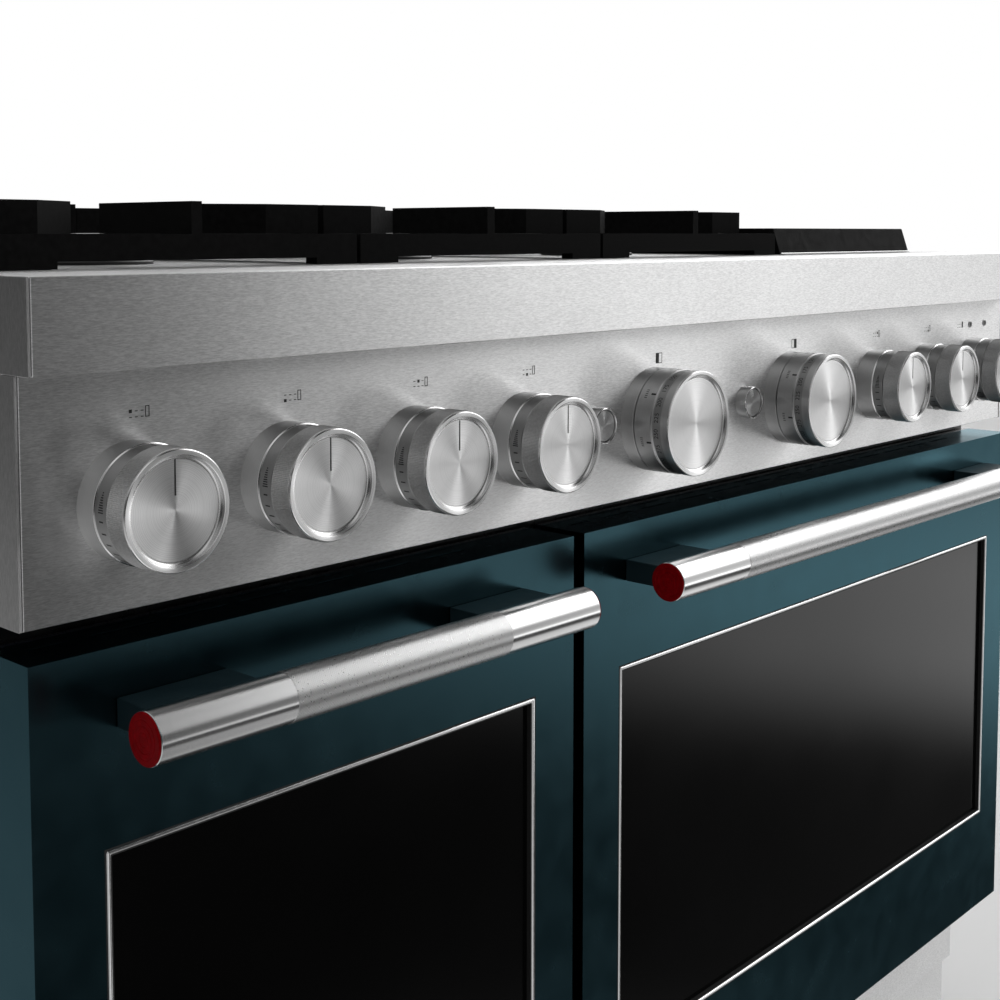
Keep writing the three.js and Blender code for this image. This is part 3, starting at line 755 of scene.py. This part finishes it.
def print_symbols():
    def over(node_name, shift):
        x, _, z = span(node_name)
        return forward(middle(x) + shift, middle(z) + symbol_height, panel_face - proud)

    for number in range(1, 8):
        column, row = divmod(number - 1, 2)
        shift = symbol_shift if number < 7 else -27
        black_piece(f"burner_symbol_{number}", burner_symbol(column, row), "chassis",
                over(f"burner_knob_{number}", shift))
    for side in sides:
        black_piece(f"{side}_oven_symbol", oven_symbol(side), "chassis", over(f"{side}_oven_knob", 8))
    x, _, z = span("burner_knob_7")
    for side, shift in (("left", -1.5), ("right", 34.5)):
        lens = [(0, [(3.6, 0), (3.6, 0.5), (3.0, 0.9)]), (1, [(2.6, 0.8), (1.4, 1.1), (0, 1.2)])]
        place = forward(middle(x) + shift, middle(z) + 49)
        piece(f"{side}_indicator_lens", lathe(lens, 40), [knob_side, lens_dark], "chassis",
              place)


print_symbols()


# ---- doors ----
def vent_slots(x, door_front, z):
    """Rows of slots through the door's top, behind its front edge."""
    row_gap = 13
    first_row = door_front + 28
    slot_length, slot_pitch, slot_width = 42, 52, 3
    start = x[0] + 55 + slot_length / 2
    count = int((x[1] - x[0] - 90) // slot_pitch)
    centres = [(start + i * slot_pitch, first_row + row * row_gap)
               for i in range(count) for row in (0, 1)]
    long_slots = slots_along_x(centres, slot_length, slot_width, z)
    merged(long_slots, slots_along_x([(x[0] + 28, first_row)], 23.5, slot_width, z))
    return long_slots


def frame_ring(x, y, z, width):
    """A rectangular frame around an opening: outer box less inner box, as one closed ring."""
    bm = bmesh.new()
    loops = []
    for depth in y:
        for by in (0, width):
            loops.append([bm.verts.new(p) for p in (
                (x[0] + by, depth, z[0] + by), (x[1] - by, depth, z[0] + by),
                (x[1] - by, depth, z[1] - by), (x[0] + by, depth, z[1] - by))])
    outer_front, inner_front, outer_back, inner_back = loops
    for first, second in ((outer_front, inner_front), (inner_front, inner_back),
                          (inner_back, outer_back), (outer_back, outer_front)):
        join_rings(bm, first, second)
    return bm


def handle(side):
    body = f"{side}_door"
    x, y, z = span(f"{side}_handle_bar")
    radius = (z[1] - z[0]) / 2
    length = x[1] - x[0]
    smooth_end = 90
    step = 0.2  # the knurled middle stands proud of the smooth ends
    wall = 1.2
    end_radius = radius - step
    outline = [
        (2, [(end_radius - wall, 6), (end_radius - wall, 0.2), (end_radius - wall + 0.2, 0),
             (end_radius - 0.35, 0), (end_radius, 0.4)]),
        (0, [(end_radius, 1.0), (end_radius, smooth_end)]),
        (1, [(radius, smooth_end + 0.15), (radius, length - smooth_end - 0.15)]),
        (0, [(end_radius, length - smooth_end), (end_radius, length - 1.0)]),
        (2, [(end_radius, length - 0.4), (end_radius - 0.35, length),
             (end_radius - wall + 0.2, length), (end_radius - wall, length - 0.2),
             (end_radius - wall, length - 6)]),
    ]
    place = pointing((1, 0, 0), x[0], middle(y), middle(z))
    piece(f"{side}_handle_tube", lathe(outline, 64), [handle_smooth, handle_knurl, polished], body,
          place, stands_for=[f"{side}_handle_bar"])
    head = 1.5
    cap_radius = end_radius - 0.3
    rings = [(0, head), (2.6, head)]
    for at in (3.2, 6.6, 10):
        rings += [(at, head), (at + 0.3, head - 0.25), (at + 0.9, head - 0.25), (at + 1.2, head)]
    rings += [(cap_radius - 0.7, head - 0.1), (cap_radius - 0.15, head - 0.5), (cap_radius, 0.35),
              (radius - wall - 0.3, 0.3), (radius - wall - 0.3, -4), (0, -4)]
    for letter, direction, at in (("a", -1, x[0]), ("b", 1, x[1])):
        cap_place = pointing((direction, 0, 0), at, middle(y), middle(z))
        piece(f"{side}_handle_medallion_{letter}", lathe([(0, rings)], 72), red, body,
              cap_place, stands_for=[f"{side}_handle_cap_{letter}"])
        recast(f"{side}_handle_bracket_{letter}", bracket_teal, body,
               f"{side}_handle_foot_{letter}", 1.8)


def window(side, x, z, front):
    body = f"{side}_door"
    trim_width = 3
    pane = span(f"{side}_window_glass")
    trim = frame_ring(x, (front - 0.8, pane[1][0] - 0.2), z, trim_width)
    piece(f"{side}_window_bezel", trim, polished, body, bevel=1.3,
          stands_for=[f"{side}_window_trim"])
    # The outer pane is opaque: its near-black colour is partly tinted glass and partly painted shade of
    # the oven behind it.
    piece(f"{side}_window_pane", boxes(pane), dark_glass_and_cavity_shade, body, bevel=0.3,
          stands_for=[f"{side}_window_glass"])
    # A dark ring round the bezel, standing on the door face: painted shade of the gap between the bezel
    # and the door skin.
    gap_shade_ring = frame_ring(grown(x, 0.9), (front - 0.1, front + 1), grown(z, 0.9), 1.3)
    piece(f"{side}_window_gap_shade", gap_shade_ring, rubber_and_gap_shade, body)
    seal = frame_ring(grown(x, -trim_width), (front + 0.4, pane[1][0] - 0.1), grown(z, -trim_width), 0.8)
    piece(f"{side}_window_seal", seal, rubber_and_gap_shade, body)


def door(side):
    body = f"{side}_door"
    x, y, z = span(f"{side}_door_skin")
    cuts = vent_slots(x, y[0], (z[1] - 4, z[1] + 4))
    recast(f"{side}_door_skin", teal, body, f"{side}_door_shell", 1.3, cuts)
    recast(f"{side}_door_liner", cavity_enamel, body, f"{side}_door_inner_panel")
    trim_box = span(f"{side}_window_trim")
    window(side, trim_box[0], trim_box[2], y[0])
    handle(side)
    inner_details(side, span(f"{side}_door_liner"))


def inner_details(side, liner):
    """The inner glass, its retainer and the screws on a door's oven side."""
    body = f"{side}_door"
    (x0, x1), (_, y1), (z0, z1) = liner
    trim = span(f"{side}_window_trim")
    glass_x = (trim[0][0] + 60, trim[0][1] - 60)
    glass_z = (trim[2][0] + 50, trim[2][1] - 60)
    pane = boxes((grown(glass_x, -0.4), (y1 - 6, y1 - 2), grown(glass_z, -0.4)))
    piece(f"{side}_inner_pane", pane, clear_glass, body, bevel=0.6)
    clamps = frame_ring(grown(glass_x, 12), (y1, y1 + 1.6), grown(glass_z, 12), 14)
    piece(f"{side}_glass_retainer", clamps, plated, body, bevel=0.5)
    inset = 14
    places = [(px, y1, pz) for px in (x0 + inset, middle((x0, x1)), x1 - inset)
              for pz in (z0 + inset, z1 - inset)]
    screws(f"{side}_door_screws", places, (0, 1, 0), body)


def screws(name, places, direction, body, radius=4.0):
    """Pan heads: domed discs with a dimple."""
    bm = bmesh.new()
    turn = Vector(direction).to_track_quat("Z", "Y").to_matrix()
    for at in places:
        head = lathe([(0, [(radius, 0), (radius, 0.5), (radius * 0.8, 1.5), (radius * 0.35, 1.9),
                           (radius * 0.3, 1.2), (0, 1.1)])], 18)
        for corner in head.verts:
            corner.co = turn @ corner.co + Vector(at)
        merged(bm, head)
    piece(name, bm, plated, body)


for side in sides:
    door(side)


# ---- ovens ----
def oven(side):
    x, y, z = span(f"{side}_oven_cavity")
    wall = 2
    recast(f"{side}_oven_cavity", cavity_enamel, "chassis", f"{side}_oven_liner", 1.2)
    back = y[1] - wall
    on_back = forward(middle(x), middle(z), back - 0.2)
    fan_radius = 95
    cover = lathe([(0, [(fan_radius + 14, 0), (fan_radius + 13, 4), (fan_radius + 6, 9),
                        (fan_radius, 10), (70, 11), (60, 14), (30, 14), (26, 11), (0, 10.5)])], 96)
    piece(f"{side}_fan_cover", cover, cavity_enamel, "chassis", on_back)
    # Black slots in rings on the fan cover, which is not cut through: painted shade standing for the dark
    # insides of its vents.
    vent_shade = bmesh.new()
    for i in range(24):
        angle = 2 * pi * i / 24
        for reach in (76, 84, 92):
            shade_slot = boxes(((-2.6, 2.6), (-1.4, 1.4), (10.2, 11.4)))
            for corner in shade_slot.verts:
                px, py, pz = corner.co
                corner.co = ((reach + px) * cos(angle) - py * sin(angle),
                             (reach + px) * sin(angle) + py * cos(angle), pz)
            merged(vent_shade, shade_slot)
    black_piece(f"{side}_fan_vent_shade", vent_shade, "chassis", on_back)
    lamp = lathe([(0, [(26, 0), (26, 2), (22, 4)]), (1, [(20, 4), (18, 8), (10, 11), (0, 12)])], 48)
    piece(f"{side}_oven_lamp", lamp, [plated, clear_glass], "chassis",
          forward(x[1] - 60, z[1] - 60, back - 0.2))
    burner_cover = boxes((grown(x, -60), (y[0] + 60, back - 40), (z[0] + wall + 0.5, z[0] + wall + 4)))
    piece(f"{side}_bake_cover", burner_cover, cavity_enamel, "chassis", bevel=1.5)
    element = bmesh.new()
    element_radius = 3.2
    level = z[1] - wall - 18
    ends = (y[0] + 60, back - 20)
    for i in range(4):
        px = x[0] + 70 + i * (x[1] - x[0] - 140) / 3
        rod(element, (px, ends[0], level), (px, ends[1], level), element_radius)
    for py in ends:
        rod(element, (x[0] + 67, py, level), (x[1] - 67, py, level), element_radius)
    piece(f"{side}_broil_element", element, burner_enamel, "chassis")
    rack(side)
    rack_guides(side, x, y, z, wall)
    gasket(side, x, z)


def rack(side):
    """Round plated wires on the outline and spacing of the CAD rack."""
    x, y, z = span(f"{side}_oven_rack")
    wires = bmesh.new()
    radius = 2.4
    level = z[0] + radius
    top = z[1] - 1.6
    for py in (y[0] + radius, middle(y), y[1] - radius):
        rod(wires, (x[0], py, level), (x[1], py, level), radius, 14)
    for px in (x[0] + radius, x[1] - radius):
        rod(wires, (px, y[0] + 1, level), (px, y[1] - 1, level), radius, 14)
    count = round((x[1] - x[0]) / 22)
    for i in range(1, count):
        px = x[0] + i * (x[1] - x[0]) / count
        rod(wires, (px, y[0] + 1, top), (px, y[1] - 1, top), 1.5, 10)
    piece(f"{side}_rack_wires", wires, plated, f"{side}_rack",
          stands_for=[f"{side}_oven_rack"])


def rack_guides(side, x, y, z, wall):
    """Wire ladders between the rack and both walls, which show where else the rack could go."""
    ladders = bmesh.new()
    rack_x, _, rack_z = span(f"{side}_oven_rack")
    radius = min(2, (rack_x[0] - x[0] - wall) / 2 - 0.2)
    for px in (x[0] + wall + radius, x[1] - wall - radius):
        for py in (y[0] + 40, y[1] - 60):
            rod(ladders, (px, py, z[0] + 40), (px, py, z[1] - 40), radius)
        for step in (-1, 1, 2, 3):
            pz = rack_z[0] - 8 + step * 60
            rod(ladders, (px, y[0] + 30, pz), (px, y[1] - 50, pz), radius)
    piece(f"{side}_rack_guides", ladders, plated, "chassis")


def gasket(side, x, z):
    """A braided seal round the oven's mouth, on the black front frame."""
    frame_y = span("front_frame")[1][0]
    bm = bmesh.new()
    bulge = 2.2
    gx, gz = grown(x, 8), grown(z, 8)
    corner = 16
    path = []
    for cx, cz, first in ((gx[1] - corner, gz[1] - corner, 0), (gx[0] + corner, gz[1] - corner, 90),
                          (gx[0] + corner, gz[0] + corner, 180), (gx[1] - corner, gz[0] + corner, 270)):
        for step in range(7):
            angle = radians(first + 15 * step)
            path.append((cx + corner * cos(angle), cz + corner * sin(angle),
                         Vector((cos(angle), 0, sin(angle)))))
    rings = []
    for px, pz, outwards in path:
        ring = []
        for i in range(10):
            angle = 2 * pi * i / 10
            arm = outwards * (2.6 * cos(angle)) + Vector((0, -1, 0)) * (bulge * sin(angle))
            ring.append(bm.verts.new(Vector((px, frame_y - 0.2, pz)) + arm))
        rings.append(ring)
    for i, ring in enumerate(rings):
        join_rings(bm, ring, rings[(i + 1) % len(rings)])
    piece(f"{side}_oven_gasket", bm, gasket_braid, "chassis", sharp=60)


for side in sides:
    oven(side)


# ---- body shell ----
def shell():
    def sheet_of(node_name, name, look, bevel):
        recast(node_name, look, "chassis", name, bevel)

    for side in sides:
        sheet_of(f"{side}_side_panel", f"{side}_side_sheet", side_steel, 0.5)
    sheet_of("base_pan", "base_sheet", galvanised, 0.5)
    sheet_of("kick_plate", "kick_sheet", steel, 0.6)
    sheet_of("front_frame", "front_frame_sheet", enamel, 0.6)
    sheet_of("rear_trim", "rear_vent_trim", top_steel, 0.9)
    sheet_of("cooktop_tray", "cooktop_sheet", top_steel, 0.6)
    back()
    side_fixings()
    for end in ("front", "rear"):
        for side in sides:
            leg(f"{end}_{side}_leg")


def back():
    """The rear cover with rows of slots cut through it, and its screws."""
    x, y, z = span("back_panel")
    length, pitch_x, pitch_z = 70, 92, 14
    cuts = bmesh.new()
    columns = 9
    for column in range(columns):
        for row in range(6):
            cx = middle(x) + (column - (columns - 1) / 2) * pitch_x
            cz = z[1] - 110 - row * pitch_z
            slot = slots_along_x([(0, 0)], length, 4, (-4, 4))
            for corner in slot.verts:
                px, py, pz = corner.co
                corner.co = (cx + px, y[1] + pz - 1, cz + py)
            merged(cuts, slot)
    recast("back_panel", galvanised, "chassis", "back_sheet", 0.4, cuts)
    inset = 12
    places = [(x[0] + 20 + i * (x[1] - x[0] - 40) / 8, y[1], pz)
              for i in range(9) for pz in grown(z, -inset)]
    places += [(px, y[1], z[0] + inset + i * (z[1] - z[0] - 2 * inset) / 6)
               for i in range(1, 6) for px in grown(x, -inset)]
    screws("back_screws", places, (0, 1, 0), "chassis")


def side_fixings():
    """Screws along the rear and bottom edges of each side panel."""
    for side, outwards in (("left", -1), ("right", 1)):
        x, y, z = span(f"{side}_side_panel")
        face = x[0] if outwards < 0 else x[1]
        places = [(face, y[1] - 14, z[0] + 40 + i * (z[1] - z[0] - 80) / 5) for i in range(6)]
        places += [(face, y[0] + 30 + i * 90, z[0] + 16) for i in range(3)]
        screws(f"{side}_side_screws", places, (outwards, 0, 0), "chassis", 3.4)


def leg(name):
    """A turned foot on a threaded stem, with a hexagon for the spanner."""
    x, y, z = span(name)
    top = z[1]
    radius = (x[1] - x[0]) / 2
    pad = [(0, 0), (radius - 2.2, 0), (radius - 0.6, 1), (radius, 2.6), (radius, 9),
           (radius - 1.5, 12), (16, 15), (13, 17), (9, 18)]
    threads = []
    for i in range(12):
        at = 30 + i * 2.5
        threads += [(8.6, at), (9.6, at + 1.25)]
    upper = [(9, 62), (12.6, 63), (12.6, top), (0, top)]
    bm = lathe([(1, pad[:5]), (0, pad[5:] + [(9, 29)] + threads + upper)], 48)
    nut = lathe([(0, [(0, 18), (15, 18), (15.6, 19), (15.6, 27), (15, 28), (0, 28)])], 6)
    merged(bm, nut)
    piece(f"{name}_foot", bm, [plated, rubber_and_gap_shade], "chassis",
          upright(middle(x), middle(y), 0), stands_for=[name])


shell()


# ---- burners, grates and griddle ----
def burner(name):
    x, y, _ = span(name)
    deck = span("cooktop_tray")[2][1]
    place = upright(middle(x), middle(y), deck)
    base = [(0, 0.4), (46, 0.4), (46, 2), (44, 3.4), (38, 4.2), (36.5, 5), (36.2, 6.2), (34, 6.4),
            (0, 6.4)]
    ports = 36

    def toothed(angle):
        return 1 - 0.045 * (0.5 + 0.5 * math.copysign(1, cos(ports * angle) - 0.2))

    body = lathe([(1, base)], 96)
    crown = lathe([(0, [(0, 6), (34.5, 6), (35.6, 7), (35.6, 11), (34.5, 11.6), (0, 11.6)])],
                  ports * 8, ripple=toothed)
    merged(body, crown)
    piece(f"{name}_base", body, [burner_metal, burner_enamel], "chassis", place,
          stands_for=[name])
    cap = lathe([(0, [(0, 11.8), (37.6, 11.8), (38.6, 12.4), (39, 13.2), (38.4, 14.6), (36, 15.8),
                      (30, 16.3), (12, 16.7), (0, 16.8)])], 96)
    piece(f"{name}_cap", cap, cast_iron, "chassis", place)
    igniter = bmesh.new()
    rod(igniter, (41, 0, 1), (41, 0, 9.5), 2.4, 16)
    rod(igniter, (41, 0, 9.5), (41, 0, 12.8), 0.9, 10)
    piece(f"{name}_igniter", igniter, plated, "chassis", place)


for row in ("front", "rear"):
    for column in ("left", "centre", "right"):
        burner(f"{row}_{column}_burner")

for column in ("left", "centre", "right"):
    recast(f"{column}_grate", cast_iron, f"{column}_grate", f"{column}_grate_casting", 1.1)


def griddle():
    recast("griddle_plate", griddle_iron, "griddle", "griddle_casting")
    recast("griddle_burner", burner_metal, "chassis", "griddle_tube_burner")
    x, y, z = span("griddle_plate")
    strip = boxes((grown(x, -0.5), (y[0] - 1.2, y[0] + 3), (z[0] + 0.1, z[0] + 1.6)))
    piece("griddle_edge_strip", strip, polished, "griddle", bevel=0.4)


griddle()


# ---- studio ----
def circle(reach, steps, z):
    return [(reach * cos(2 * pi * i / steps), reach * sin(2 * pi * i / steps), z) for i in range(steps)]


def disc(name, reach):
    mesh = bpy.data.meshes.new(name)
    steps = 128
    mesh.from_pydata(circle(reach, steps, 0), [], [list(range(steps))])
    return mesh


def studio():
    """A pale floor and backdrop, under a dark world with soft lights in it: a large one high on the
    right, fainter ones level and low on the right, high on the left, in front and behind, and the
    glow of the floor."""
    scene = bpy.context.scene
    scene.view_settings.view_transform = "Standard"
    floor = bpy.data.objects.new("floor", disc("floor", 14))
    floor.data.materials.append(patterned("floor_pale", 0.8, 0.84, 400, (0.6, 0.75)))
    floor.visible_glossy = False
    backdrop = bpy.data.objects.new("backdrop", ring_wall("backdrop", 13.5, 12))
    backdrop.data.materials.append(glowing("backdrop_pale", 1.0))
    backdrop.visible_glossy = False
    backdrop.visible_diffuse = False
    backdrop.visible_shadow = False
    for stage in (floor, backdrop):
        scene.collection.objects.link(stage)

    world = bpy.data.worlds.new("studio")
    scene.world = world
    world.use_nodes = True
    tree = world.node_tree
    tree.nodes.clear()
    direction = node(tree, "TexCoord").outputs["Generated"]
    x, y, z = (node(tree, "SeparateXYZ", {"Vector": direction}).outputs[axis] for axis in "XYZ")
    behind = glow(tree, x, [(-0.4, 0.2), (0.4, 1)], y, [(-0.3, 0), (0.5, 1)], 0.45)
    above = glow(tree, x, [(0.46, 0), (0.56, 0.03), (0.63, 0.2), (0.7, 0.75), (0.77, 1), (0.92, 0.8)],
                 z, [(0.12, 0), (0.4, 1)], 3)
    level_right = glow(tree, x, [(0.5, 0), (0.6, 0.1), (0.7, 0.5), (0.8, 1), (0.9, 0.85)],
                       z, [(-0.26, 0), (-0.16, 1), (0.2, 1), (0.4, 0)], 0.7)
    low_right = glow(tree, x, [(0.48, 0.1), (0.6, 0.3), (0.68, 0.55), (0.74, 0.65), (0.8, 0.8),
                               (0.85, 0.72), (0.9, 0.63)],
                     z, [(-0.6, 0.5), (-0.46, 0.02), (-0.34, 0.02), (-0.27, 1), (-0.23, 1), (-0.15, 0.1),
                         (0, 0)], 2.2)
    high_left = glow(tree, x, [(-0.2, 1), (0.2, 0)], z, [(0.2, 0), (0.5, 1)], 0.25)
    front = glow(tree, x, [(-0.4, 0), (-0.25, 1), (0.08, 1), (0.26, 0)], y, [(-0.5, 1), (-0.2, 0)], 0.4)
    pale_floor = glow(tree, x, [(0.1, 1), (0.34, 0)], z, [(-0.36, 1), (-0.26, 0)], 0.35)
    level = 0.035
    for light in (behind, above, level_right, low_right, high_left, front, pale_floor):
        level = node(tree, "Math", {0: level, 1: light}, operation="ADD").outputs[0]
    background = node(tree, "Background", {"Color": grey(1.0), "Strength": level})
    output = node(tree, "OutputWorld")
    tree.links.new(background.outputs[0], output.inputs[0])
    softbox("softbox_top", (0, 0, 3.4), (4.5, 3.5), 0.72)


def levels(tree, value, stops):
    """A direction's component turned into light by (value, level) stops."""
    inputs = {"Value": value, "From Min": -1, "From Max": 1}
    made = node(tree, "ValToRGB", {"Fac": node(tree, "MapRange", inputs).outputs[0]})
    made.color_ramp.interpolation = "EASE"
    elements = made.color_ramp.elements
    while len(elements) < len(stops):
        elements.new(0.5)
    for element, (at, level) in zip(elements, stops):
        element.position = (at + 1) / 2
        element.color = grey(level)
    return made.outputs["Color"]


def glow(tree, x, x_stops, z, z_stops, strength):
    """Soft light that follows one set of levels across x and another up z."""
    both = node(tree, "Math", {0: levels(tree, x, x_stops), 1: levels(tree, z, z_stops)},
                operation="MULTIPLY").outputs[0]
    return node(tree, "Math", {0: both, 1: strength}, operation="MULTIPLY").outputs[0]


def softbox(name, place, size, radiance):
    """A large soft light facing down, for the floor and for matt surfaces."""
    light = bpy.data.lights.new(name, "AREA")
    light.shape = "RECTANGLE"
    light.size, light.size_y = size
    light.energy = radiance * pi * size[0] * size[1]
    lamp = bpy.data.objects.new(name, light)
    lamp.location = place
    lamp.visible_camera = False
    lamp.visible_glossy = False
    bpy.context.scene.collection.objects.link(lamp)


def ring_wall(name, reach, height):
    """A round wall with a flat top."""
    mesh = bpy.data.meshes.new(name)
    steps = 96
    corners = circle(reach, steps, -0.01) + circle(reach, steps, height)
    faces = [(i, (i + 1) % steps, steps + (i + 1) % steps, steps + i) for i in range(steps)]
    mesh.from_pydata(corners, [], faces + [tuple(range(steps, 2 * steps))])
    return mesh


def glowing(name, strength):
    look = bpy.data.materials.new(name)
    look.use_nodes = True
    tree = look.node_tree
    tree.nodes.clear()
    emission = node(tree, "Emission", {"Strength": strength})
    output = node(tree, "OutputMaterial")
    tree.links.new(emission.outputs[0], output.inputs[0])
    return look


studio()
